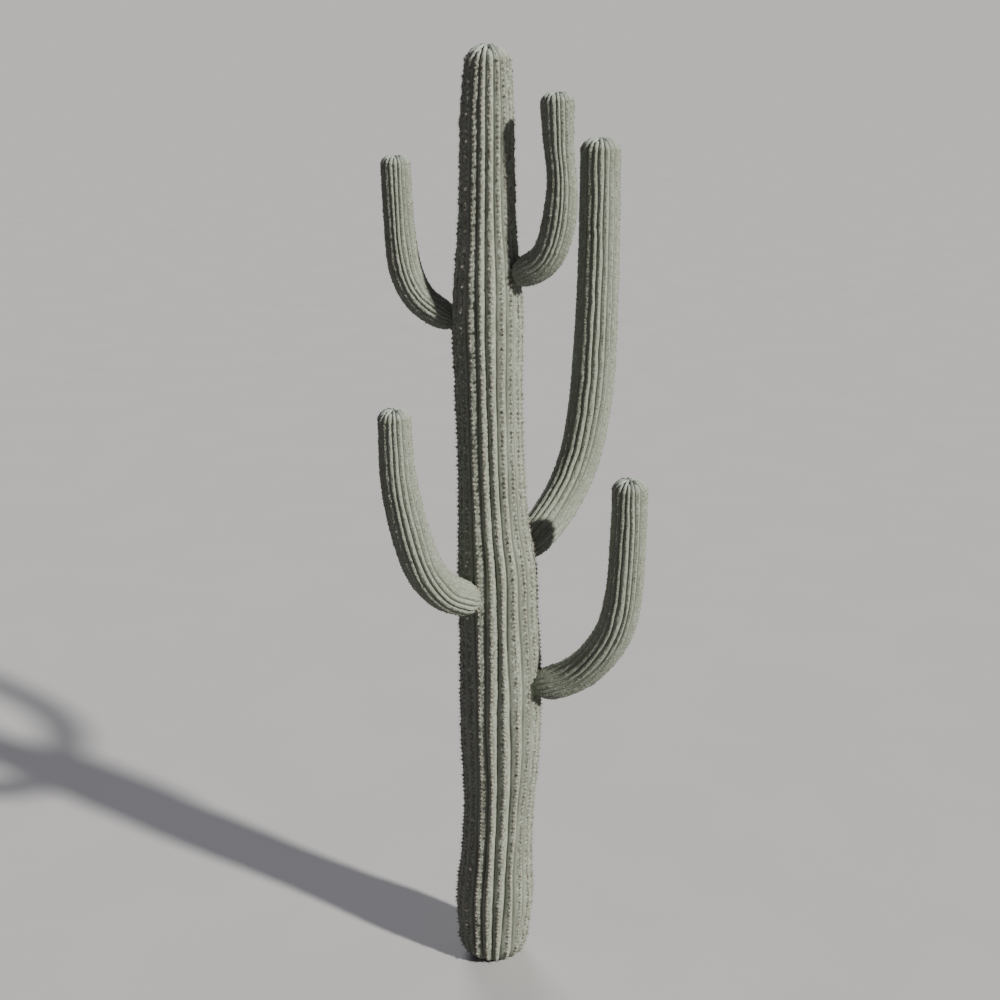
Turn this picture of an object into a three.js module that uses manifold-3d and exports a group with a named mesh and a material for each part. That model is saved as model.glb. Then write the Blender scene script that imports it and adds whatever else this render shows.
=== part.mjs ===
// A mature saguaro cactus rooted in level ground: one ribbed trunk and five upturned arms.
// Millimetres, +Z up. The origin is the centre of the flat cut where the trunk meets the ground.
// The trunk is one solid. Each arm is split half way round its bend into an elbow and an upright.
import * as THREE from "three";
import { mergeVertices } from "three/addons/utils/BufferGeometryUtils.js";
import Module from "manifold-3d";

const wasm = await Module();
wasm.setup();

// ---- Driving dimensions -------------------------------------------------------------------

const TRUNK_HEIGHT = 9040;
const RIBS = 20;
const RIB_DEPTH = 0.1; // groove depth as a share of the limb's radius
const DOME_RISE = 0.55; // height of a growing tip's dome as a share of its radius
const JOINT_GAP = 0.4; // between the two halves of an arm
const SEAT_GAP = 0.52; // between an arm's root and the trunk, measured along the trunk's radius

// One rib's cross-section, as [place across its width, depth as a share of the groove's].
const TRUNK_RIB = [[0, 1], [0.2, 0.28], [0.5, 0], [0.8, 0.28]];
const ARM_RIB = [[0, 1], [0.3, 0.08], [0.7, 0.08]];

// The trunk, as [height, radius over the ribs, x and y of its middle], from the cut to the
// shoulder under its dome. It draws in at the foot, swells twice and leans as it climbs.
const TRUNK = [
  [0, 215, 0, 0], [50, 288, -8, 0], [130, 342, -16, 0], [330, 368, -12, -4],
  [720, 396, 0, -12], [1180, 366, 18, -35], [1760, 358, 42, -60], [2220, 380, 57, -78],
  [2660, 403, 58, -88], [3350, 401, 56, -105], [3950, 385, 38, -125], [4380, 378, 26, -140],
  [4800, 338, -8, -155], [5500, 315, -34, -165], [6100, 319, -52, -165], [6670, 332, -59, -162],
  [7040, 316, -57, -155], [7500, 274, -60, -150], [8090, 255, -60, -143], [8500, 246, -57, -138],
  [8920, 212, -52, -132],
];

// Each arm's centreline in its own upright plane, as [distance out from the trunk's middle,
// height]. Its radii are those of its root, elbow, bend, upright and tip, at GIRTH_SHARES of its
// length. azimuth is the way it leans, counted from +X towards +Y.
const ARMS = [
  {
    name: "low_right_arm", azimuth: 340.8, radii: [165, 176, 184, 176, 166],
    path: [[0, 3070], [420, 3165], [678, 3276], [885, 3440], [1110, 3778], [1196, 4100],
      [1236, 4840], [1236, 5318]],
  },
  {
    name: "low_left_arm", azimuth: 227.4, radii: [170, 178, 178, 168, 146],
    path: [[0, 4040], [320, 4100], [642, 4246], [796, 4360], [985, 4602], [1144, 5000],
      [1264, 5505], [1300, 6118]],
  },
  {
    name: "tall_arm", azimuth: 42.8, radii: [185, 202, 214, 202, 192],
    path: [[0, 4310], [500, 4540], [838, 4815], [1077, 5172], [1220, 5680], [1280, 6275],
      [1306, 7100], [1300, 8232]],
  },
  {
    name: "high_left_arm", azimuth: 170, radii: [128, 144, 150, 138, 136],
    path: [[0, 6625], [320, 6700], [604, 6872], [732, 7100], [782, 7392], [802, 7706],
      [816, 8128]],
  },
  {
    name: "high_right_arm", azimuth: 332.6, radii: [140, 146, 148, 130, 148],
    path: [[0, 7010], [300, 7125], [564, 7285], [670, 7520], [712, 7888], [678, 8255],
      [657, 8670]],
  },
];
const GIRTH_SHARES = [0.12, 0.3, 0.5, 0.7, 0.93];
const ROOT_PINCH = 0.78; // an arm's radius at the trunk's skin as a share of its root radius
const PINCH_REACH = 190; // how far past the trunk's skin the pinch eases out
const ROOT_START = 0.6; // where an arm starts inside the trunk, as a share of the trunk's radius
const SPLIT_RISE = 0.8; // climb per unit of length at which a bending arm is split

const TRUNK_STEP = 460; // most height between two rings of the trunk
const ARM_STEP = 330; // most length between two rings of an upright
const ELBOW_STEP = 150;
const DOME_STEPS = 3;

// ---- Helpers ------------------------------------------------------------------------------

// A smooth row of values between the rows of a table whose first column rises.
function smoothRow(table, at) {
  const last = table.length - 1;
  let i = 0;
  while (i < last - 1 && at > table[i + 1][0]) i += 1;
  const [a, b] = [table[i], table[i + 1]];
  const width = b[0] - a[0];
  const t = THREE.MathUtils.clamp((at - a[0]) / width, 0, 1);
  const slope = (j, k) => {
    const [low, high] = [table[Math.max(j - 1, 0)], table[Math.min(j + 1, last)]];
    return (high[k] - low[k]) / (high[0] - low[0]);
  };
  return a.slice(1).map((value, column) => {
    const k = column + 1;
    const ease = t * t * (3 - 2 * t);
    const leave = slope(i, k) * width * t * (1 - t) * (1 - t);
    const arrive = slope(i + 1, k) * width * t * t * (1 - t);
    return value + (b[k] - value) * ease + leave - arrive;
  });
}

// Profile points from one distance along a limb to another, with radiusAt giving the radius.
function stretch(from, to, longest, radiusAt) {
  const steps = Math.ceil((to - from) / longest);
  return Array.from({ length: steps + 1 }, (_, i) => {
    const along = from + ((to - from) * i) / steps;
    return new THREE.Vector2(radiusAt(along), along);
  });
}

// Profile points over a growing tip: half an ellipse from the shoulder to the axis.
function dome(radius, shoulder, rise, steps) {
  return Array.from({ length: steps }, (_, i) => {
    const turn = ((i + 1) / steps) * (Math.PI / 2);
    const reach = i + 1 === steps ? 0 : radius * Math.cos(turn);
    return new THREE.Vector2(reach, shoulder + rise * Math.sin(turn));
  });
}

// A limb turned on a lathe with a profile of (radius, distance along the limb), cut into ribs,
// then carried onto its centreline. place(distance) gives a section's centre and its two axes.
function ribbedLimb(profile, rib, place) {
  const around = RIBS * rib.length;
  const geometry = new THREE.LatheGeometry(profile, around);
  const position = geometry.getAttribute("position");
  for (let i = 0; i < position.count; i += 1) {
    const radius = Math.hypot(position.getX(i), position.getZ(i));
    const segment = Math.floor(i / profile.length) % around;
    const [across, sunk] = rib[segment % rib.length];
    const angle = ((Math.floor(segment / rib.length) + across) / RIBS) * 2 * Math.PI;
    const reach = radius * (1 - RIB_DEPTH * sunk);
    const { centre, side, front } = place(position.getY(i));
    const point = centre.clone()
      .addScaledVector(side, reach * Math.cos(angle))
      .addScaledVector(front, reach * Math.sin(angle));
    position.setXYZ(i, point.x, point.y, point.z);
  }
  geometry.computeVertexNormals();
  return geometry;
}

function solidOf(geometry) {
  const bare = geometry.clone();
  bare.deleteAttribute("normal");
  bare.deleteAttribute("uv");
  const merged = mergeVertices(bare, 1e-3);
  return new wasm.Manifold(new wasm.Mesh({
    numProp: 3,
    vertProperties: merged.getAttribute("position").array,
    triVerts: new Uint32Array(merged.index.array),
  }));
}

function geometryOf(solid) {
  const mesh = solid.getMesh();
  const geometry = new THREE.BufferGeometry();
  geometry.setAttribute("position", new THREE.BufferAttribute(mesh.vertProperties, 3));
  geometry.setIndex(new THREE.BufferAttribute(mesh.triVerts, 1));
  geometry.computeVertexNormals();
  return geometry;
}

// ---- Trunk --------------------------------------------------------------------------------

function trunkCentre(height) {
  const [, x, y] = smoothRow(TRUNK, height);
  return new THREE.Vector3(x, y, height);
}

// The trunk's skin. extra widens it all round, for the seat that an arm's root is cut to.
function trunkGeometry(extra = 0) {
  const radiusAt = (height) => smoothRow(TRUNK, height)[0] + extra;
  const rings = TRUNK.slice(1).flatMap(([height], i) => {
    const run = stretch(TRUNK[i][0], height, TRUNK_STEP, radiusAt);
    return i === 0 ? run : run.slice(1);
  });
  const { x: radius, y: shoulder } = rings.at(-1);
  const profile = [
    new THREE.Vector2(0, 0),
    ...rings,
    ...dome(radius, shoulder, TRUNK_HEIGHT - shoulder, DOME_STEPS),
  ];
  const side = new THREE.Vector3(1, 0, 0);
  const front = new THREE.Vector3(0, 1, 0);
  return ribbedLimb(profile, TRUNK_RIB, (height) => ({ centre: trunkCentre(height), side, front }));
}

// ---- Arms ---------------------------------------------------------------------------------

// The two halves of an arm: the elbow out of the trunk, and the upright that ends in a dome.
function armGeometries(arm) {
  const azimuth = THREE.MathUtils.degToRad(arm.azimuth);
  const outward = new THREE.Vector3(Math.cos(azimuth), Math.sin(azimuth), 0);
  const across = new THREE.Vector3(-outward.y, outward.x, 0);
  const rootHeight = arm.path[0][1];
  const rootCentre = trunkCentre(rootHeight);
  const curve = new THREE.CatmullRomCurve3(arm.path.map(
    ([out, height]) => rootCentre.clone().addScaledVector(outward, out).setZ(height),
  ));
  const length = curve.getLength();

  const place = (along) => {
    const share = Math.min(along / length, 1);
    const tangent = curve.getTangentAt(share);
    const side = new THREE.Vector3().crossVectors(across, tangent);
    return { centre: curve.getPointAt(share), side, front: across };
  };
  const skin = smoothRow(TRUNK, rootHeight)[0];
  const girth = arm.radii.map((radius, i) => [GIRTH_SHARES[i] * length, radius]);
  const radiusAt = (along) => {
    const eased = THREE.MathUtils.smoothstep(along, skin, skin + PINCH_REACH);
    return smoothRow(girth, along)[0] * THREE.MathUtils.lerp(ROOT_PINCH, 1, eased);
  };

  let split = skin;
  while (curve.getTangentAt(split / length).z < SPLIT_RISE) split += 1;
  const start = skin * ROOT_START;
  const elbow = [
    new THREE.Vector2(0, start),
    ...stretch(start, split, ELBOW_STEP, radiusAt),
    new THREE.Vector2(0, split),
  ];
  const tipRadius = arm.radii.at(-1);
  const shoulder = length - tipRadius * DOME_RISE;
  const upright = [
    new THREE.Vector2(0, split + JOINT_GAP),
    ...stretch(split + JOINT_GAP, shoulder, ARM_STEP, radiusAt),
    ...dome(tipRadius, shoulder, tipRadius * DOME_RISE, DOME_STEPS),
  ];
  return [ribbedLimb(elbow, ARM_RIB, place), ribbedLimb(upright, ARM_RIB, place)];
}

// ---- Assembly -----------------------------------------------------------------------------

const trunkSkin = new THREE.MeshStandardMaterial({ color: 0x9b9d8b, roughness: 0.85, metalness: 0 });
const armSkin = new THREE.MeshStandardMaterial({ color: 0xa3a592, roughness: 0.85, metalness: 0 });
const saguaro = new THREE.Group();

function add(name, geometry, material) {
  const mesh = new THREE.Mesh(geometry, material);
  mesh.name = name;
  saguaro.add(mesh);
}

add("trunk", trunkGeometry(), trunkSkin);

const seat = solidOf(trunkGeometry(SEAT_GAP));
for (const arm of ARMS) {
  const [elbow, upright] = armGeometries(arm);
  const outside = solidOf(elbow).subtract(seat).decompose();
  const seated = outside.reduce((a, b) => (a.volume() > b.volume() ? a : b));
  add(`${arm.name}_elbow`, geometryOf(seated), armSkin);
  add(`${arm.name}_upright`, upright, armSkin);
}

export default saguaro;
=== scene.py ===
# %% [markdown]
# # A saguaro cactus, dressed
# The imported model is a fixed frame: one solid for the trunk and two for each of five arms. Here
# each limb gets its real skin of rounded ribs, and along every rib a row of woolly pads with
# their spines. Everything is in metres, +Z up, with the origin where the trunk meets the ground.

# %% Load the frame
import math
import bpy
import numpy as np
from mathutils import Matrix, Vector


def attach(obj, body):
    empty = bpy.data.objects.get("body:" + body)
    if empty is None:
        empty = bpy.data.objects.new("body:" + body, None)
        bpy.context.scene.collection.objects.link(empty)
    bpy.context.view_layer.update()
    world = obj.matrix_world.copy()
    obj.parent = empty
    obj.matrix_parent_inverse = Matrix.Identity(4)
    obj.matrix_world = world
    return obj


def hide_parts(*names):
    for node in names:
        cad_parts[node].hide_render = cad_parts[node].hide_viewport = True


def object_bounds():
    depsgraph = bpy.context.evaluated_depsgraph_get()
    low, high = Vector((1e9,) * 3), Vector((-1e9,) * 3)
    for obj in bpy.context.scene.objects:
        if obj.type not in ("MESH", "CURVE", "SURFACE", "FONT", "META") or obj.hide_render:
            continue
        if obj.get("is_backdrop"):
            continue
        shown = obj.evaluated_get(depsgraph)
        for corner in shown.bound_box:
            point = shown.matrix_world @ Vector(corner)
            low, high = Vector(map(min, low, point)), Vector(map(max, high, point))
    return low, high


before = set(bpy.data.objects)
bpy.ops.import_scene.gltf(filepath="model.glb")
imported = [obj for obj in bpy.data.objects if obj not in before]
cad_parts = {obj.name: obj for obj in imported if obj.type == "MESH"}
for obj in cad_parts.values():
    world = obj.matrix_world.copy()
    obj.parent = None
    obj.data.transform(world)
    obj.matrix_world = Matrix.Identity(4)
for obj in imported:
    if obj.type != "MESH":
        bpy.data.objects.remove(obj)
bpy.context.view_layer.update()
bpy.ops.object.select_all(action="DESELECT")

# %% [markdown]
# ## The camera
# A tall plant looks tall when its upright lines stay nearly parallel, so the camera stands one
# plant-height up, well back, and tips its gaze down a little to take in the foot.

# %% Camera
CAMERA_PLACE = (0.053, -12.466, 9.0)
CAMERA_TILT = 72.05  # degrees, where 0 looks straight down and 90 looks level
LENS = 50  # millimetres
bpy.ops.object.camera_add(location=CAMERA_PLACE, rotation=(math.radians(CAMERA_TILT), 0, 0))
camera = bpy.context.object
camera.data.lens = LENS
bpy.context.scene.camera = camera
print("camera looks down by", round(90 - CAMERA_TILT, 2), "degrees")

# %% [markdown]
# ## Floor and light
# A plain pale floor takes the plant's shadow. Ribs only show when light crosses them, so the key
# lamp is low and well to the right. Both lamps are distant ones, which light nine metres of plant
# evenly. The key is a few degrees wide, for shadows with soft edges. The back lamp is far wider
# and weaker: it lights the side that the key can't reach, and its shadow is very soft.

# %% Floor
FLOOR_SHADE, FLOOR_BOUNCE = 0.5, 0.22  # how pale the floor looks, and how much light it sends up
FLOOR_MOTTLE = 0.97  # the darkest share of that shade
FLOOR_SIZE = 8000  # metres, so that its edge lies close to the horizon
FLOOR_DROP = 0.001  # metres it lies below the plant's foot, so that the two never share a face
bpy.ops.mesh.primitive_plane_add(size=FLOOR_SIZE, location=(0, 0, -FLOOR_DROP))
floor = bpy.context.object
floor.name = "floor"
floor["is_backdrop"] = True

# %% Lamps
LAMPS = {  # degrees above the floor, degrees round from +X, width in degrees, strength, colour
    "key_lamp": (31, -34.0, 3, 5.6, (1.0, 0.972, 0.90)),
    "back_lamp": (25, 104, 30, 2.2, (0.96, 0.98, 1.0)),
}
for name, (height, side, width, strength, colour) in LAMPS.items():
    bpy.ops.object.light_add(type="SUN", rotation=(0, math.radians(90 - height), math.radians(side)))
    lamp = bpy.context.object
    lamp.name = name
    lamp.data.energy = strength
    lamp.data.angle = math.radians(width)
    lamp.data.color = colour
    print(name, "turned by", [round(math.degrees(a), 1) for a in lamp.rotation_euler])

# %% [markdown]
# ## The studio behind
# The world gives a little even fill. What the camera sees of it is the same pale tone as the lit
# floor, worked out from the lamps, so that floor and wall join without a line.

# %% Studio world
SKY_FILL = (0.078, 0.062, 0.090)

def floor_light(k):
    """How much of one of the three colours falls on the floor, from the fill and both lamps."""
    from_lamps = sum(strength * colour[k] * math.sin(math.radians(height)) / math.pi
                     for height, side, width, strength, colour in LAMPS.values())
    return SKY_FILL[k] + from_lamps

glow = [FLOOR_SHADE * (1 + FLOOR_MOTTLE) / 2 * floor_light(k) for k in range(3)]
world = bpy.data.worlds.new("studio")
bpy.context.scene.world = world
world.use_nodes = True
sky = world.node_tree
wall = sky.nodes.new("ShaderNodeBackground")
wall.inputs["Color"].default_value = (*glow, 1)
fill = sky.nodes["Background"]
fill.inputs["Color"].default_value = (*SKY_FILL, 1)
seen = sky.nodes.new("ShaderNodeLightPath")
either = sky.nodes.new("ShaderNodeMixShader")
sky.links.new(seen.outputs["Is Camera Ray"], either.inputs["Fac"])
sky.links.new(fill.outputs["Background"], either.inputs[1])
sky.links.new(wall.outputs["Background"], either.inputs[2])
sky.links.new(either.outputs["Shader"], sky.nodes["World Output"].inputs["Surface"])
print("wall tone", [round(g, 3) for g in glow])

# %% [markdown]
# ## The plant's sizes
# A saguaro's trunk is a column whose girth records good and lean years, so it is given as a few
# radii up its height, with the sideways drift of its middle. An arm is a path in an upright plane
# that leaves the trunk nearly level and turns up. These are the sizes that the solids have, but
# for up to 5 mm on the low right and high right arms, and for how every arm's root swells.

# %% Trunk sizes
RIBS = 20
TRUNK_HEIGHT = 9.04
TRUNK = np.array([  # height, radius over the ribs, x and y of the middle
    [0, 215, 0, 0], [50, 288, -8, 0], [130, 342, -16, 0], [330, 368, -12, -4],
    [720, 396, 0, -12], [1180, 366, 18, -35], [1760, 358, 42, -60], [2220, 380, 57, -78],
    [2660, 403, 58, -88], [3350, 401, 56, -105], [3950, 385, 38, -125], [4380, 378, 26, -140],
    [4800, 338, -8, -155], [5500, 315, -34, -165], [6100, 319, -52, -165], [6670, 332, -59, -162],
    [7040, 316, -57, -155], [7500, 274, -60, -150], [8090, 255, -60, -143], [8500, 246, -57, -138],
    [8920, 212, -52, -132]]) / 1000
print("trunk rows:", len(TRUNK), "widest radius", TRUNK[:, 1].max())

# %% Arm sizes
ARMS = {  # azimuth from +X towards +Y, radii at GIRTH_SHARES of the length, path of (out, height)
    "low_right_arm": (340.8, [165, 176, 182, 171, 166],
        [[0, 3070], [420, 3165], [678, 3276], [885, 3440], [1110, 3778], [1196, 4100],
         [1236, 4840], [1236, 5318]]),
    "low_left_arm": (227.4, [170, 178, 178, 168, 146],
        [[0, 4040], [320, 4100], [642, 4246], [796, 4360], [985, 4602], [1144, 5000],
         [1264, 5505], [1300, 6118]]),
    "tall_arm": (42.8, [185, 202, 214, 202, 192],
        [[0, 4310], [500, 4540], [838, 4815], [1077, 5172], [1220, 5680], [1280, 6275],
         [1306, 7100], [1300, 8232]]),
    "high_left_arm": (170, [128, 144, 150, 138, 136],
        [[0, 6625], [320, 6700], [604, 6872], [732, 7100], [782, 7392], [802, 7706],
         [816, 8128]]),
    "high_right_arm": (332.6, [140, 146, 148, 126, 146],
        [[0, 7010], [300, 7125], [564, 7285], [670, 7520], [712, 7888], [678, 8255],
         [657, 8670]]),
}
GIRTH_SHARES = [0.12, 0.3, 0.5, 0.7, 0.93]
ROOT_PINCH = 0.66  # share of its girth that an arm has where it leaves the trunk
PINCH_REACH = 0.19  # metres in which it swells to its full girth, as a round shoulder does
ROOT_START = 0.75  # where an arm starts inside the trunk, as a share of the trunk's radius there
DOME_RISE = 0.55  # height of a growing tip's dome as a share of its radius
print("arms:", list(ARMS))

# %% Smooth values between the rows of a table
def smooth_row(table, at):
    """The table's values at a height, or at many, on smooth curves through its rows."""
    at = np.asarray(at, float)
    heights = table[:, 0]
    last = len(table) - 1
    i = np.clip(np.searchsorted(heights, at, side="left") - 1, 0, last - 1)
    rows = np.arange(last + 1)
    low, high = np.maximum(rows - 1, 0), np.minimum(rows + 1, last)
    slopes = (table[high, 1:] - table[low, 1:]) / (heights[high] - heights[low])[:, None]
    width = (heights[i + 1] - heights[i])[..., None]
    t = np.clip((at - heights[i]) / (heights[i + 1] - heights[i]), 0, 1)[..., None]
    start, end = table[i, 1:], table[i + 1, 1:]
    return (start + (end - start) * t * t * (3 - 2 * t)
            + slopes[i] * width * t * (1 - t) ** 2 - slopes[i + 1] * width * t * t * (1 - t))

print("trunk radius at 2 m:", round(float(smooth_row(TRUNK, 2.0)[0]), 4))

# %% [markdown]
# ## Room for the spines
# The radii above take in the spines, as a tape pulled round the plant would. The skin itself lies
# a little inside: by more on the young, spiny upper trunk than on the worn foot, and by least on
# the arms, whose spines are short. Near an arm's root that doesn't hold: the skin starts narrower
# than the solid and swells faster, so for a little way it stands up to 10 mm outside.

# %% The skins lie inside their spines
SPINE_ROOM_AT_FOOT, SPINE_ROOM_PER_METRE = 0.006, 0.0014
ARM_SPINE_ROOM = 0.005

def trunk_radius(height):
    return smooth_row(TRUNK, height)[:, 0] - SPINE_ROOM_AT_FOOT - SPINE_ROOM_PER_METRE * height

print("skin radius at 2 m:", round(float(trunk_radius(np.array([2.0]))[0]), 4))

# %% [markdown]
# ## A limb, before it has ribs
# Trunk and arms are the same kind of thing, a column that follows a middle line. Each is
# described by three functions of the distance along it: where the middle is, which two
# directions span the section there, and the radius over the ribs. The trunk's ribs are turned a
# little from those of its solid, which keeps the spines on one shaded crest mostly out of the
# key lamp's light.

# %% The trunk as a limb
TRUNK_TWIST = -2.6  # degrees, clockwise seen from above

def trunk_axes(along):
    ones = np.ones_like(along)[:, None]
    return ones * np.array((1.0, 0, 0)), ones * np.array((0, 1.0, 0))

trunk_limb = {
    "name": "trunk", "kind": "trunk", "length": TRUNK_HEIGHT, "start": 0.0, "shoulder": TRUNK[-1, 0],
    "twist": math.radians(TRUNK_TWIST),
    "centre": lambda along: np.column_stack([smooth_row(TRUNK, along)[:, 1:], along]),
    "axes": trunk_axes,
    "radius": trunk_radius,
}

# %% An arm as a limb
def through(points, steps=24):
    """A smooth line through the points, whose curve keeps to their spacing."""
    ends = np.vstack([2 * points[0] - points[1], points, 2 * points[-1] - points[-2]])
    line = []
    for p0, p1, p2, p3 in zip(ends, ends[1:], ends[2:], ends[3:]):
        d0, d1, d2 = (np.sum((b - a) ** 2) ** 0.25 for a, b in ((p0, p1), (p1, p2), (p2, p3)))
        leave = ((p1 - p0) / d0 - (p2 - p0) / (d0 + d1) + (p2 - p1) / d1) * d1
        arrive = ((p2 - p1) / d1 - (p3 - p1) / (d1 + d2) + (p3 - p2) / d2) * d1
        t = np.arange(steps)[:, None] / steps
        line.append(p1 + leave * t + (3 * (p2 - p1) - 2 * leave - arrive) * t ** 2
                    + (2 * (p1 - p2) + leave + arrive) * t ** 3)
    return np.vstack([*line, points[-1:]])

def arm_limb(name):
    azimuth, radii, path = ARMS[name]
    path = np.array(path) / 1000
    away = math.radians(azimuth)
    outward = np.array((math.cos(away), math.sin(away), 0))
    across = np.array((-outward[1], outward[0], 0))
    surface, root_x, root_y = smooth_row(TRUNK, path[0, 1])
    line = through(path)
    line = np.array((root_x, root_y, 0)) + line[:, :1] * outward + line[:, 1:] * np.array((0, 0, 1.0))
    run = np.concatenate([[0], np.cumsum(np.linalg.norm(np.diff(line, axis=0), axis=1))])
    length = run[-1]
    slope = np.gradient(line, run, axis=0)
    slope /= np.linalg.norm(slope, axis=1)[:, None]
    girth = np.column_stack([np.array(GIRTH_SHARES) * length, np.array(radii) / 1000])

    def follow(values, along):
        return np.column_stack([np.interp(along, run, values[:, k]) for k in range(3)])

    def axes(along):
        tangent = follow(slope, along)
        tangent /= np.linalg.norm(tangent, axis=1)[:, None]
        return np.cross(across, tangent), np.ones_like(tangent) * across

    def radius(along):
        ease = np.sqrt(1 - (1 - np.clip((along - surface) / PINCH_REACH, 0, 1)) ** 2)
        return (smooth_row(girth, along)[:, 0] - ARM_SPINE_ROOM) * (ROOT_PINCH + (1 - ROOT_PINCH) * ease)

    return {"name": name, "kind": "arm", "length": length, "start": ROOT_START * surface, "twist": 0.0,
            "shoulder": length - radii[-1] / 1000 * DOME_RISE,
            "centre": lambda along: follow(line, along), "axes": axes, "radius": radius}

arm_limbs = [arm_limb(name) for name in ARMS]
for limb in arm_limbs:
    print(limb["name"], "is", round(limb["length"], 2), "m long")

# %% [markdown]
# ## The rib section
# Saguaro ribs are pleats that let the plant swell after rain. Between two of them is a narrow,
# deep groove. The section is one bulge repeated. On the old trunk its crest is narrower, so that
# light from one side leaves the far flank of every rib dark. On the plump arms it is rounder.
# Points lie closer together near the groove, where the surface turns fastest, and near the crest,
# which the spines roughen.

# %% One rib
# Places across one rib, from its groove at 0 towards the next rib's at 1
RIB_PLACES = np.array([0, 0.05, 0.15, 0.29, 0.41, 0.5, 0.59, 0.71, 0.85, 0.95])
CREST = 5  # which of the places is the rib's crest
RIB_DEPTH = {"trunk": 0.112, "arm": 0.108}  # groove depth as a share of the limb's radius
RIB_ROUNDING = {"trunk": (1.6, 0.72), "arm": (1.9, 0.75)}  # of the crest, and of the groove

def bulge(across, kind):
    """Height across a rib, 0 in its grooves and 1 on its crest."""
    at_crest, at_groove = RIB_ROUNDING[kind]
    return (1 - np.abs(2 * across - 1) ** at_crest) ** at_groove

for kind in RIB_ROUNDING:
    print(kind, "rib heights", np.round(bulge(RIB_PLACES, kind), 2))

# %% [markdown]
# ## From a sheet to a skin
# A ribbed skin has far too many points to push by hand, but its layout is only a grid. So each
# skin starts as a flat grid sheet, one column per point round the limb and one row per ring. The
# sheet is rolled round the limb's middle line, its first and last columns are welded, and its first
# and last rows close to points. Rows keep step with the spine pads, two to a pad, so that every pad has
# a point of the skin to sit on.

# %% The rows of a skin
ROWS_TO_A_PAD = 2
TRUNK_PAD_PITCH, ARM_PAD_PITCH = 0.044, 0.03  # metres from one pad to the next up a rib
DOME_ROWS = 18  # rings from a growing tip's shoulder to its point
TIP_EXTRA = 0.015  # metres a tip is raised over the solid's dome, before its pit and its relief
TIP_PIT = 0.04  # depth of the hollow in the middle of a growing tip, as a share of its radius
PIT_REACH = 0.3  # how far out that hollow goes, as a share of the same radius
TIP_POINT = {"trunk": 1.3, "arm": 1.1}  # 1 makes a tip round, and more makes it pointed

def eased(value, low, high):
    """0 below low, 1 above high, and smooth between."""
    share = np.clip((value - low) / (high - low), 0, 1)
    return share * share * (3 - 2 * share)

def limb_rows(limb, pad_pitch):
    """For every ring from root to tip: radius, distance along, and how far it is round the dome."""
    start, shoulder = limb["start"], limb["shoulder"]
    pads = round((shoulder - start) / pad_pitch)
    shaft = np.linspace(start, shoulder, pads * ROWS_TO_A_PAD + 1)
    turn = np.arange(1, DOME_ROWS + 1) / DOME_ROWS * math.pi / 2
    tip_radius = limb["radius"](np.array([shoulder]))[0]
    radius = np.concatenate([[0], limb["radius"](shaft), tip_radius * np.cos(turn)])
    radius[-1] = 0
    pit = TIP_PIT * tip_radius * (1 - eased(np.cos(turn), 0, PIT_REACH))
    rise = (limb["length"] + TIP_EXTRA - shoulder) * np.sin(turn) ** TIP_POINT[limb["kind"]] - pit
    along = np.concatenate([[start], shaft, shoulder + rise])
    return radius, along, np.concatenate([np.zeros(len(shaft) + 1), turn])

print("trunk rings:", len(limb_rows(trunk_limb, TRUNK_PAD_PITCH)[0]))

# %% [markdown]
# ## Where ribs meet at the tip
# Twenty ribs can't all reach the middle of a dome. Every second one runs out on the way, sinking
# to the groove's depth, and the others spread into broad facets that meet round a small pit. The
# relief is measured square to the surface, so on the dome the grooves cut down and not inwards.
#
# No rib of a real plant is straight or even. Every groove strays sideways, slowly over a long
# stretch and quickly over a short one, and its depth changes on the way.

# %% The shape of a skin
SECOND_RIB_ENDS = (0.35, 0.8)  # shares of the tip's radius where second ribs are gone, and start to fade
FACET_SPREAD = 0.24  # how far the others widen there on each side, as a share of a rib's width
DOME_RELIEF = 0.9  # how much deeper grooves get where second ribs have gone, as a share
RIBS_CLOSE = 0.86  # how far in towards the tip's middle the relief starts to level out, of 1
SLOW_SPACING, SLOW_STRAY = 0.9, 0.028  # metres between changes, and their spread in radians
QUICK_SPACING = 0.15  # metres
DEPTH_SPACING, DEPTH_CHANGE = 0.4, 0.11  # metres, and the spread as a share of the depth
MOST_STRAY = 2  # spreads beyond which a chance value is cut back

def between_grooves(rng, far, spacing, rib, place):
    """Chance values that change smoothly along every groove. A rib's points share in both grooves'."""
    knots = np.arange(-1, far[-1] / spacing + 3) * spacing
    chance = rng.normal(0, 1, (len(knots), RIBS)).clip(-MOST_STRAY, MOST_STRAY)
    stray = smooth_row(np.column_stack([knots, chance]), far)
    return stray[:, rib % RIBS] * (1 - place) + stray[:, (rib + 1) % RIBS] * place

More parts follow.
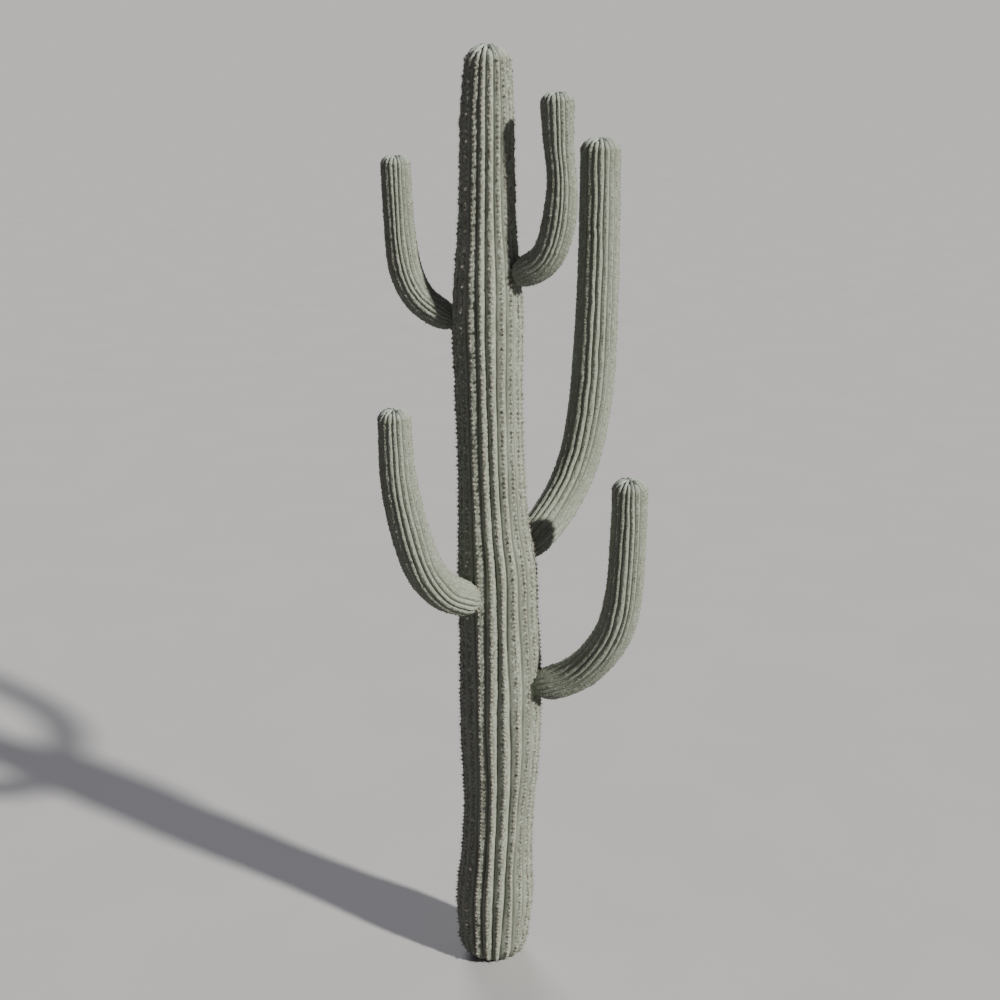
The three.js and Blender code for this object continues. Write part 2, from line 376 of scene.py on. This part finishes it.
def skin_points(limb, radius, along, turned, wobble, rough, seed):
    """The place of every point of the sheet, and its height across its rib."""
    rng = np.random.default_rng(seed)
    column = np.arange(RIBS * len(RIB_PLACES) + 1)
    rib, place = column // len(RIB_PLACES), RIB_PLACES[column % len(RIB_PLACES)]
    inward = 1 - np.cos(turned)[:, None]
    fading = eased(inward, 1 - SECOND_RIB_ENDS[1], 1 - SECOND_RIB_ENDS[0])
    crest = bulge(place, limb["kind"]) * (1 - fading * (rib % 2))
    widened = FACET_SPREAD * fading * np.cos(math.pi * (rib + place))
    turn = (rib + place - widened) / RIBS * 2 * math.pi
    far = along[:, None] - limb["start"]
    drift = sum(size * between_grooves(rng, far[:, 0], spacing, rib, place)
                for spacing, size in ((SLOW_SPACING, SLOW_STRAY), (QUICK_SPACING, wobble)))
    deep = 1 + DEPTH_CHANGE * between_grooves(rng, far[:, 0], DEPTH_SPACING, rib, place)
    girth = np.maximum(radius, (turned > 0) * radius[turned == 0][-1])[:, None]
    closing = 1 - eased(inward, RIBS_CLOSE, 1)
    relief = -RIB_DEPTH[limb["kind"]] * deep * (1 + DOME_RELIEF * fading) * girth * (1 - crest) * closing
    in_grooves, on_crests = rough
    chance = np.clip(rng.normal(0, 1, relief.shape), -MOST_STRAY, MOST_STRAY)
    relief += chance * (in_grooves + on_crests * crest ** 4) * closing
    lean_out, lean_up = np.cos(turned) * DOME_RISE, np.sin(turned)
    steep = np.hypot(lean_out, lean_up)
    reach = np.where(radius[:, None] > 0, radius[:, None] + relief * (lean_out / steep)[:, None], 0)
    lift = relief * (lean_up / steep)[:, None]
    side, front = limb["axes"](along)
    angle = turn + drift + limb["twist"]
    points = (limb["centre"](along)[:, None] + (reach * np.cos(angle))[..., None] * side[:, None]
              + (reach * np.sin(angle))[..., None] * front[:, None]
              + lift[..., None] * np.cross(side, front)[:, None])
    points[:, -1] = points[:, 0]
    return points, np.broadcast_to(crest, reach.shape)

# %% Rolling a sheet into a skin
WELD = 0.00005  # metres within which the sheet's edges, and its closed tip and root, become one

def roll_skin(limb, pad_pitch, wobble, rough, seed):
    """A limb's skin, and where every point of its sheet lies."""
    radius, along, turned = limb_rows(limb, pad_pitch)
    points, crest = skin_points(limb, radius, along, turned, wobble, rough, seed)
    rows, columns = crest.shape
    bpy.ops.mesh.primitive_grid_add(x_subdivisions=columns - 1, y_subdivisions=rows - 1, size=1)
    skin = bpy.context.object
    skin.name = skin.data.name = limb["name"] + "_skin"
    mesh = skin.data
    mesh.vertices.foreach_set("co", points.reshape(-1, 3).astype("f").ravel())
    young = np.broadcast_to(np.sin(turned)[:, None], crest.shape)
    for label, values in (("crest", crest), ("young", young)):
        attribute = mesh.attributes.new(label, "FLOAT", "POINT")
        attribute.data.foreach_set("value", values.astype("f").ravel())
    bpy.ops.object.mode_set(mode="EDIT")
    bpy.ops.mesh.select_all(action="SELECT")
    bpy.ops.mesh.remove_doubles(threshold=WELD)
    bpy.ops.mesh.normals_make_consistent(inside=False)
    bpy.ops.object.mode_set(mode="OBJECT")
    bpy.ops.object.shade_smooth()
    bpy.ops.object.select_all(action="DESELECT")
    print(skin.name, rows, "rings x", columns - 1, "points,", len(mesh.polygons), "faces")
    return skin, points

# %% The trunk's skin
TRUNK_ROUGHNESS = (0.0006, 0.0042)  # metres that points stray, in grooves and besides on crests
TRUNK_WOBBLE, TRUNK_SEED = 0.006, 3  # spread of the quick stray in radians, and the seed
trunk_skin, trunk_points = roll_skin(trunk_limb, TRUNK_PAD_PITCH, TRUNK_WOBBLE, TRUNK_ROUGHNESS,
                                     TRUNK_SEED)
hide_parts("trunk")
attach(trunk_skin, "root")

# %% [markdown]
# ## The arms
# An arm grows from a single pad on the trunk, so its root is a narrow neck, and its ribs fan out
# of it. One skin covers an arm's two solids, and its root is buried in the trunk.

# %% The arms' skins
ARM_ROUGHNESS = (0.0012, 0.0018)
ARM_WOBBLE, FIRST_ARM_SEED = 0.016, 20
arm_skins, arm_points = [], []
for number, limb in enumerate(arm_limbs):
    skin, points = roll_skin(limb, ARM_PAD_PITCH, ARM_WOBBLE, ARM_ROUGHNESS, FIRST_ARM_SEED + number)
    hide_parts(limb["name"] + "_elbow", limb["name"] + "_upright")
    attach(skin, "root")
    arm_skins.append(skin)
    arm_points.append(points)

# %% [markdown]
# ## Where the spine pads sit
# Every rib carries a row of small woolly pads along its crest. Those of neighbouring ribs are out
# of step, which packs the spines evenly. Each pad's frame is read off the skin itself: the crest
# point it sits on, the way the skin faces there, and the way up.

# %% Pad frames
DOME_PAD_ROWS = (2, 4)  # first dome ring without pads, on the ribs that run out and on the others
ROOT_ROWS_BARE = 3  # rings at a limb's root with no pads
DOME_PAD_SHRINK = 0.65  # share by which a pad would be smaller half way up the dome's rings

def pad_frames(points):
    """Origin, frame and size of every pad on a skin. Pads shrink over the dome."""
    shoulder = points.shape[0] - DOME_ROWS - 1
    origins, frames, sizes = [], [], []
    for rib in range(RIBS):
        column = rib * len(RIB_PLACES) + CREST
        rows = np.arange(1 + ROOT_ROWS_BARE, shoulder + DOME_PAD_ROWS[(rib + 1) % 2])
        on_rib = rows[(rows - 1 + rib) % ROWS_TO_A_PAD == 0]
        up = points[on_rib + 1, column] - points[on_rib - 1, column]
        round_it = points[on_rib, column + 1] - points[on_rib, column - 1]
        up /= np.linalg.norm(up, axis=1)[:, None]
        out = np.cross(round_it, up)
        out /= np.linalg.norm(out, axis=1)[:, None]
        frames.append(np.stack([np.cross(up, out), up, out], axis=2))
        origins.append(points[on_rib, column])
        sizes.append(1 - DOME_PAD_SHRINK * np.clip((on_rib - shoulder) / DOME_ROWS * 2, 0, 1))
    return np.vstack(origins), np.vstack(frames), np.concatenate(sizes)

trunk_pads = pad_frames(trunk_points)
print("pads on the trunk:", len(trunk_pads[0]))

# %% [markdown]
# ## One pad and one needle
# A pad is a low cushion of felt. Its spines are stiff tapering needles: a ring of pale ones lies
# nearly flat, and a few darker ones stand out of the middle. One needle is a three-sided cone
# whose root is sunk in the pad. There are over a hundred thousand, so it has only four faces.

# %% The felt pad
PAD_SHAPE = (0.8, 1.15, 0.75)  # how far its ball is stretched across the rib, up it and outwards
PAD_CUT = -0.25  # where its ball is cut off flat, inside the skin
PAD_RINGS, TRUNK_PAD_SIDES, ARM_PAD_SIDES = 3, 7, 5

def felt_pad(sides):
    """A ball of a few faces, cut off below and pressed into a low cushion."""
    bpy.ops.mesh.primitive_uv_sphere_add(segments=sides, ring_count=PAD_RINGS, radius=1)
    pad = bpy.context.object
    bpy.ops.object.mode_set(mode="EDIT")
    bpy.ops.mesh.select_all(action="SELECT")
    bpy.ops.mesh.bisect(plane_co=(0, 0, PAD_CUT), plane_no=(0, 0, 1), use_fill=True, clear_inner=True)
    bpy.ops.mesh.select_all(action="SELECT")
    bpy.ops.transform.resize(value=PAD_SHAPE)
    bpy.ops.object.mode_set(mode="OBJECT")
    return pad

def needle():
    """A cone of three sides, one long, whose root is at the origin and fits a circle one across."""
    bpy.ops.mesh.primitive_cone_add(vertices=3, radius1=0.5, radius2=0, depth=1, location=(0, 0, 0.5))
    bpy.ops.object.transform_apply(location=True, rotation=True, scale=True)
    return bpy.context.object

def take_mesh(made):
    """The points and triangles of a made piece, which is then put away."""
    mesh = made.data
    mesh.calc_loop_triangles()
    points = np.array([v.co[:] for v in mesh.vertices])
    faces = np.array([t.vertices[:] for t in mesh.loop_triangles])
    bpy.data.objects.remove(made)
    bpy.data.meshes.remove(mesh)
    return points, faces

trunk_pad = take_mesh(felt_pad(TRUNK_PAD_SIDES))
arm_pad = take_mesh(felt_pad(ARM_PAD_SIDES))
needle_model = take_mesh(needle())
print("faces of pads", len(trunk_pad[1]), len(arm_pad[1]), "and of a needle", len(needle_model[1]))

# %% [markdown]
# ## Laying thousands of them
# A model is copied to many places at once by arrays: each copy is stretched, turned by its own
# frame and moved to its origin, and all the copies become one mesh.

# %% Copies in one mesh
def lay(name, model, origins, frames, stretch):
    """One piece that holds a copy of the model at every origin."""
    points, faces = model
    placed = np.einsum("nij,npj->npi", frames, points[None] * stretch[:, None]) + origins[:, None]
    copies, size = len(origins), len(points)
    triangles = (faces[None] + (np.arange(copies) * size)[:, None, None]).reshape(-1, 3)
    mesh = bpy.data.meshes.new(name)
    mesh.vertices.add(copies * size)
    mesh.vertices.foreach_set("co", placed.astype("f").ravel())
    mesh.loops.add(triangles.size)
    mesh.loops.foreach_set("vertex_index", triangles.astype("i").ravel())
    mesh.polygons.add(len(triangles))
    mesh.polygons.foreach_set("loop_start", np.arange(len(triangles), dtype="i") * 3)
    mesh.update(calc_edges=True)
    mesh.validate()
    piece = bpy.data.objects.new(name, mesh)
    bpy.context.scene.collection.objects.link(piece)
    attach(piece, "root")
    print(name, copies, "copies,", len(triangles), "triangles")
    return piece

# %% Needles round a pad
STRAY_ROUND = 0.35  # how far a needle strays round its pad, as a share of the step to the next
LEAST_REACH, MOST_REACH = 0.7, 1.2  # lengths by chance, as shares of the length asked for
SIDE_REACH, UP_AND_DOWN_REACH = 0.85, 0.2  # share across the rib, and how much more along it
ROOT_STEP = 0.001  # metres from the pad's middle to a needle's root
THIN_SHARE = 0.5  # how thick the needles of the smallest pads stay, as a share
TINY = 1e-9  # keeps a needle that points straight up its rib from dividing by nothing

def needle_frames(rng, pads, spines, length, thick, lowest, highest):
    """Origins, frames and stretches of the needles that ring the given pads."""
    origins, frames, sizes = pads
    count = len(origins)
    laid = []
    for k in range(spines):
        around = (k + rng.uniform(-STRAY_ROUND, STRAY_ROUND, count)) / spines * 2 * math.pi
        lift = np.radians(rng.uniform(lowest, highest, count))
        reach = (length * rng.uniform(LEAST_REACH, MOST_REACH, count) * sizes
                 * (SIDE_REACH + UP_AND_DOWN_REACH * np.abs(np.sin(around))))
        flat = np.cos(lift)
        way = np.column_stack([flat * np.cos(around), flat * np.sin(around), np.sin(lift)])
        way = np.einsum("nij,nj->ni", frames, way)
        side = np.cross(frames[:, :, 1], way)
        side /= np.linalg.norm(side, axis=1)[:, None] + TINY
        girth = thick * (THIN_SHARE + (1 - THIN_SHARE) * sizes)
        laid.append((origins + way * ROOT_STEP, np.stack([side, np.cross(way, side), way], axis=2),
                     np.column_stack([girth, girth, reach])))
    return [np.vstack(parts) for parts in zip(*laid)]

LOWEST_TIP, LOWEST_PAD = 0.004, 0.012  # metres above the ground

def above_ground(laid):
    """Leaves out needles whose tips would come too near the ground."""
    origins, frames, stretches = laid
    tips = origins + frames[:, :, 2] * stretches[:, 2:]
    keep = tips[:, 2] > LOWEST_TIP
    return origins[keep], frames[keep], stretches[keep]

def some(pads, keep):
    """The pads that are kept."""
    return [part[keep] for part in pads]

# %% The trunk's pads and spines
SPINE_SEED = 8
rng = np.random.default_rng(SPINE_SEED)
TRUNK_PAD_SIZE, ARM_PAD_SIZE = 0.0096, 0.0046
LEAST_PAD, MOST_PAD = 0.75, 1.3  # sizes by chance, as shares of those
YOUNG_FROM, YOUNG_TO, YOUNG_SHRINK = 5, 8, 0.25  # heights between which pads get smaller, and by how much

def cushions(rng, size, pads):
    """Origins, frames and sizes of pads, which are smaller where the plant is young, high up."""
    chance = rng.uniform(LEAST_PAD, MOST_PAD, len(pads[0]))
    radius = size * chance * pads[2] * (1 - YOUNG_SHRINK * eased(pads[0][:, 2], YOUNG_FROM, YOUNG_TO))
    return pads[0], pads[1], np.column_stack([radius, radius, radius])

trunk_pads = some(trunk_pads, trunk_pads[0][:, 2] > LOWEST_PAD)
trunk_felt = lay("trunk_felt", trunk_pad, *cushions(rng, TRUNK_PAD_SIZE, trunk_pads))
TRUNK_SPINES = {  # heights from and to, spines to a pad, length, thickness, least and most tilt
    "lower_trunk_flat_spines": (0, 3, 14, 0.027, 0.0070, -14, 16),
    "middle_trunk_flat_spines": (3, 6, 14, 0.026, 0.0066, -14, 16),
    "upper_trunk_flat_spines": (6, 10, 16, 0.028, 0.0044, -15, 12),
    "lower_trunk_long_spines": (0, 6, 4, 0.032, 0.0058, 38, 85),
    "upper_trunk_long_spines": (6, 10, 3, 0.029, 0.0044, 38, 85),
}
for name, (low, high, *kind) in TRUNK_SPINES.items():
    part = some(trunk_pads, (trunk_pads[0][:, 2] >= low) & (trunk_pads[0][:, 2] < high))
    lay(name, needle_model, *above_ground(needle_frames(rng, part, *kind)))

# %% The arms' pads and spines
BURIED = 0.97  # share of the trunk's radius within which an arm's pads are inside it
arm_pads = [np.concatenate(parts) for parts in zip(*(pad_frames(points) for points in arm_points))]
trunk_centre = trunk_limb["centre"](np.clip(arm_pads[0][:, 2], 0, TRUNK_HEIGHT))
from_centre = np.linalg.norm((arm_pads[0] - trunk_centre)[:, :2], axis=1)
arm_pads = some(arm_pads, from_centre > smooth_row(TRUNK, arm_pads[0][:, 2])[:, 0] * BURIED)
arm_felt = lay("arm_felt", arm_pad, *cushions(rng, ARM_PAD_SIZE, arm_pads))
ARM_SPINES = {  # the same measures as for the trunk
    "lower_arm_flat_spines": (0, 5.5, 7, 0.014, 0.0036, -8, 26),
    "upper_arm_flat_spines": (5.5, 10, 7, 0.014, 0.0036, -8, 26),
    "arm_long_spines": (0, 10, 2, 0.011, 0.0030, 38, 85),
}
for name, (low, high, *kind) in ARM_SPINES.items():
    part = some(arm_pads, (arm_pads[0][:, 2] >= low) & (arm_pads[0][:, 2] < high))
    lay(name, needle_model, *needle_frames(rng, part, *kind))

# %% [markdown]
# ## The finishes
# The skin is waxy and dusty. It is pale on the crests and darker and browner down in the grooves: that
# darkening is painted shade, laid over the real shade of the ribs. Large soft patches and fine speckles
# break up the tone. The same weathering and painted shade are used on trunk and arms, so they are one node
# group with its own inputs.

# %% Weathering and painted shade, a shared effect
def group_socket(group, name, way, kind, value=None):
    made = group.interface.new_socket(name=name, in_out=way, socket_type=kind)
    if value is not None:
        made.default_value = value

weathering_and_shade = bpy.data.node_groups.new("weathered_and_shaded_skin", "ShaderNodeTree")
group_socket(weathering_and_shade, "Crest colour", "INPUT", "NodeSocketColor", (0.5, 0.5, 0.4, 1))
# The groove colour is painted shade. It darkens the grooves and makes the crests' painted spine shadows,
# and it is also the tone of the worn speckles.
group_socket(weathering_and_shade, "Groove shade and wear colour", "INPUT", "NodeSocketColor", (0.2, 0.2, 0.15, 1))
group_socket(weathering_and_shade, "Dust colour", "INPUT", "NodeSocketColor", (0.6, 0.6, 0.5, 1))
group_socket(weathering_and_shade, "Young colour", "INPUT", "NodeSocketColor", (0.6, 0.65, 0.6, 1))
group_socket(weathering_and_shade, "Crest flecks", "INPUT", "NodeSocketFloat", 0.5)
group_socket(weathering_and_shade, "Colour", "OUTPUT", "NodeSocketColor")
group_socket(weathering_and_shade, "Roughness", "OUTPUT", "NodeSocketFloat")
group_socket(weathering_and_shade, "Grain", "OUTPUT", "NodeSocketFloat")
nodes, links = weathering_and_shade.nodes, weathering_and_shade.links
inside, outside_node = nodes.new("NodeGroupInput"), nodes.new("NodeGroupOutput")
place = nodes.new("ShaderNodeTexCoord")
PATCH_SCALE, SPECKLE_SCALE, GRAIN_SCALE, TUFT_SCALE = 2.2, 38, 240, 42  # features to a metre, roughly

def noise(scale, detail, rough=0.55):
    made = nodes.new("ShaderNodeTexNoise")
    made.inputs["Scale"].default_value = scale
    made.inputs["Detail"].default_value = detail
    made.inputs["Roughness"].default_value = rough
    links.new(place.outputs["Object"], made.inputs["Vector"])
    return made.outputs["Fac"]

def ranged(value, from_low, from_high, to_low, to_high):
    made = nodes.new("ShaderNodeMapRange")
    made.inputs["From Min"].default_value = from_low
    made.inputs["From Max"].default_value = from_high
    made.inputs["To Min"].default_value = to_low
    made.inputs["To Max"].default_value = to_high
    links.new(value, made.inputs["Value"])
    return made.outputs["Result"]

def product(first, second):
    made = nodes.new("ShaderNodeMath")
    made.operation = "MULTIPLY"
    links.new(first, made.inputs[0])
    links.new(second, made.inputs[1])
    return made.outputs["Value"]

def along_skin(label):
    made = nodes.new("ShaderNodeAttribute")
    made.attribute_name = label
    return made.outputs["Fac"]

def mixed(amount, first, second):
    made = nodes.new("ShaderNodeMix")
    made.data_type = "RGBA"
    links.new(amount, made.inputs["Factor"])
    links.new(first, made.inputs["A"])
    links.new(second, made.inputs["B"])
    return made.outputs["Result"]

crest, young = along_skin("crest"), along_skin("young")
patches = noise(PATCH_SCALE, detail=4)
speckle = noise(SPECKLE_SCALE, detail=5, rough=0.65)
grain = noise(GRAIN_SCALE, detail=3, rough=0.6)
tufts = noise(TUFT_SCALE, detail=2)
# Colours are laid over each other: groove to crest, which is painted shade in the grooves; dust in patches;
# the young skin of the tips; worn speckles; and, on the crests away from the tips, dark flecks that are
# painted shadows of the spine tufts, and pale flecks. Each range gives the two values read, and the two
# amounts that they become.
GROOVE_SHADE_TO_CREST = (0.05, 0.6, 0, 1)
DUST = (0.42, 0.68, 0, 0.7)
YOUNG_SKIN = (0.1, 0.9, 0, 0.8)
WORN = (0.56, 0.70, 0, 0.4)
ON_CRESTS = (0.5, 0.8, 0, 1)
AWAY_FROM_TIPS = (0.2, 0.7, 1, 0)
PAINTED_SPINE_SHADOWS = (0.44, 0.54, 0, 1)
PALE_FLECKS = (0.42, 0.38, 0, 1)
ROUGHNESS = (0.3, 0.7, 0.62, 0.86)
# Darker towards the grooves: painted shade.
base = mixed(ranged(crest, *GROOVE_SHADE_TO_CREST),
             inside.outputs["Groove shade and wear colour"], inside.outputs["Crest colour"])
dusty = mixed(ranged(patches, *DUST), base, inside.outputs["Dust colour"])
fresh = mixed(ranged(young, *YOUNG_SKIN), dusty, inside.outputs["Young colour"])
worn = mixed(ranged(speckle, *WORN), fresh, inside.outputs["Groove shade and wear colour"])
on_crest = product(product(ranged(crest, *ON_CRESTS), ranged(young, *AWAY_FROM_TIPS)),
                   inside.outputs["Crest flecks"])
# Dark flecks on the crests: painted shadows of the spine tufts.
spine_shadowed = mixed(product(on_crest, ranged(tufts, *PAINTED_SPINE_SHADOWS)), worn, inside.outputs["Groove shade and wear colour"])
flecked = mixed(product(on_crest, ranged(tufts, *PALE_FLECKS)), spine_shadowed, inside.outputs["Young colour"])
links.new(flecked, outside_node.inputs["Colour"])
links.new(ranged(speckle, *ROUGHNESS), outside_node.inputs["Roughness"])
links.new(grain, outside_node.inputs["Grain"])
print("weathering group nodes:", len(nodes))

# %% Skin materials
YOUNG_COLOUR = (0.43, 0.48, 0.435)
GRAIN_HEIGHT = 0.004  # metres
SKIN_GLOSS = 0.3

def skin_material(name, crest_colour, groove_shade_and_wear_colour, dust_colour, flecks, bump):
    material = bpy.data.materials.new(name)
    material.use_nodes = True
    tree = material.node_tree
    shader = tree.nodes["Principled BSDF"]
    weather = tree.nodes.new("ShaderNodeGroup")
    weather.node_tree = weathering_and_shade
    weather.inputs["Crest colour"].default_value = (*crest_colour, 1)
    weather.inputs["Groove shade and wear colour"].default_value = (*groove_shade_and_wear_colour, 1)
    weather.inputs["Dust colour"].default_value = (*dust_colour, 1)
    weather.inputs["Young colour"].default_value = (*YOUNG_COLOUR, 1)
    weather.inputs["Crest flecks"].default_value = flecks
    relief = tree.nodes.new("ShaderNodeBump")
    relief.inputs["Strength"].default_value = bump
    relief.inputs["Distance"].default_value = GRAIN_HEIGHT
    tree.links.new(weather.outputs["Colour"], shader.inputs["Base Color"])
    tree.links.new(weather.outputs["Roughness"], shader.inputs["Roughness"])
    tree.links.new(weather.outputs["Grain"], relief.inputs["Height"])
    tree.links.new(relief.outputs["Normal"], shader.inputs["Normal"])
    shader.inputs["Specular IOR Level"].default_value = SKIN_GLOSS
    return material

# The groove colours are painted shade for the grooves and for the spine shadows, and also the tone of worn
# speckles. The flecks set how strong the crests' painted spine shadows and pale flecks are.
trunk_finish = skin_material(
    "trunk_waxy_skin", crest_colour=(0.352, 0.396, 0.322), groove_shade_and_wear_colour=(0.182, 0.19, 0.148),
    dust_colour=(0.40, 0.436, 0.37), flecks=0.85, bump=0.5)
arm_finish = skin_material(
    "arm_waxy_skin", crest_colour=(0.312, 0.354, 0.285), groove_shade_and_wear_colour=(0.215, 0.223, 0.175),
    dust_colour=(0.355, 0.396, 0.333), flecks=0.6, bump=0.7)
trunk_skin.data.materials.append(trunk_finish)
for skin in arm_skins:
    skin.data.materials.append(arm_finish)

# %% Plain finishes with a little life
MOTTLE_STOPS = (0.35, 0.65)  # noise values below which a finish is dark, and above which it is light
SPINE_MOTTLE, FELT_MOTTLE, FLOOR_PATCHES = 60, 40, 0.6  # noise scales

def mottled_material(name, light, dark, scale, rough):
    material = bpy.data.materials.new(name)
    material.use_nodes = True
    tree = material.node_tree
    shader = tree.nodes["Principled BSDF"]
    where = tree.nodes.new("ShaderNodeTexCoord")
    mottle = tree.nodes.new("ShaderNodeTexNoise")
    mottle.inputs["Scale"].default_value = scale
    ramp = tree.nodes.new("ShaderNodeValToRGB")
    for stop, position, colour in zip(ramp.color_ramp.elements, MOTTLE_STOPS, (dark, light)):
        stop.position = position
        stop.color = (*colour, 1)
    tree.links.new(where.outputs["Object"], mottle.inputs["Vector"])
    tree.links.new(mottle.outputs["Fac"], ramp.inputs["Fac"])
    tree.links.new(ramp.outputs["Color"], shader.inputs["Base Color"])
    shader.inputs["Roughness"].default_value = rough
    return material

flat_finish = mottled_material(
    "pale_spine", (0.60, 0.595, 0.52), (0.36, 0.35, 0.295), SPINE_MOTTLE, rough=0.6)
long_finish = mottled_material(
    "dark_spine", (0.37, 0.34, 0.285), (0.225, 0.198, 0.158), SPINE_MOTTLE, rough=0.6)
felt_finish = mottled_material("grey_felt", (0.46, 0.45, 0.39), (0.27, 0.26, 0.22), FELT_MOTTLE, rough=0.95)
for piece in [bpy.data.objects[name] for name in (*TRUNK_SPINES, *ARM_SPINES)]:
    piece.data.materials.append(long_finish if "long" in piece.name else flat_finish)
for piece in (trunk_felt, arm_felt):
    piece.data.materials.append(felt_finish)

# %% [markdown]
# ## The floor's finish
# A pale floor would glow on to the plant from below and drown the shade in its grooves. On a real
# set, black cloth out of shot swallows that glow. Here the floor is simply darker for every ray
# but those that come straight from the camera.

# %% The floor's finish
pale, dim = [(share,) * 3 for share in (FLOOR_SHADE, FLOOR_BOUNCE)]
darker = [FLOOR_MOTTLE * share for share in pale]
floor_finish = mottled_material("pale_floor", pale, darker, FLOOR_PATCHES, rough=1.0)
tree = floor_finish.node_tree
shader = tree.nodes["Principled BSDF"]
seen = tree.nodes.new("ShaderNodeLightPath")
choice = tree.nodes.new("ShaderNodeMix")
choice.data_type = "RGBA"
choice.inputs["A"].default_value = (*dim, 1)
tree.links.new(seen.outputs["Is Camera Ray"], choice.inputs["Factor"])
tree.links.new(shader.inputs["Base Color"].links[0].from_socket, choice.inputs["B"])
tree.links.new(choice.outputs["Result"], shader.inputs["Base Color"])
shader.inputs["Specular IOR Level"].default_value = 0
floor.data.materials.append(floor_finish)

# %% [markdown]
# ## The last look
# The dressed plant's box is measured and printed.

# %% Size
low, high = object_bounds()
print("dressed box", [round(v, 3) for v in (*low, *high)])
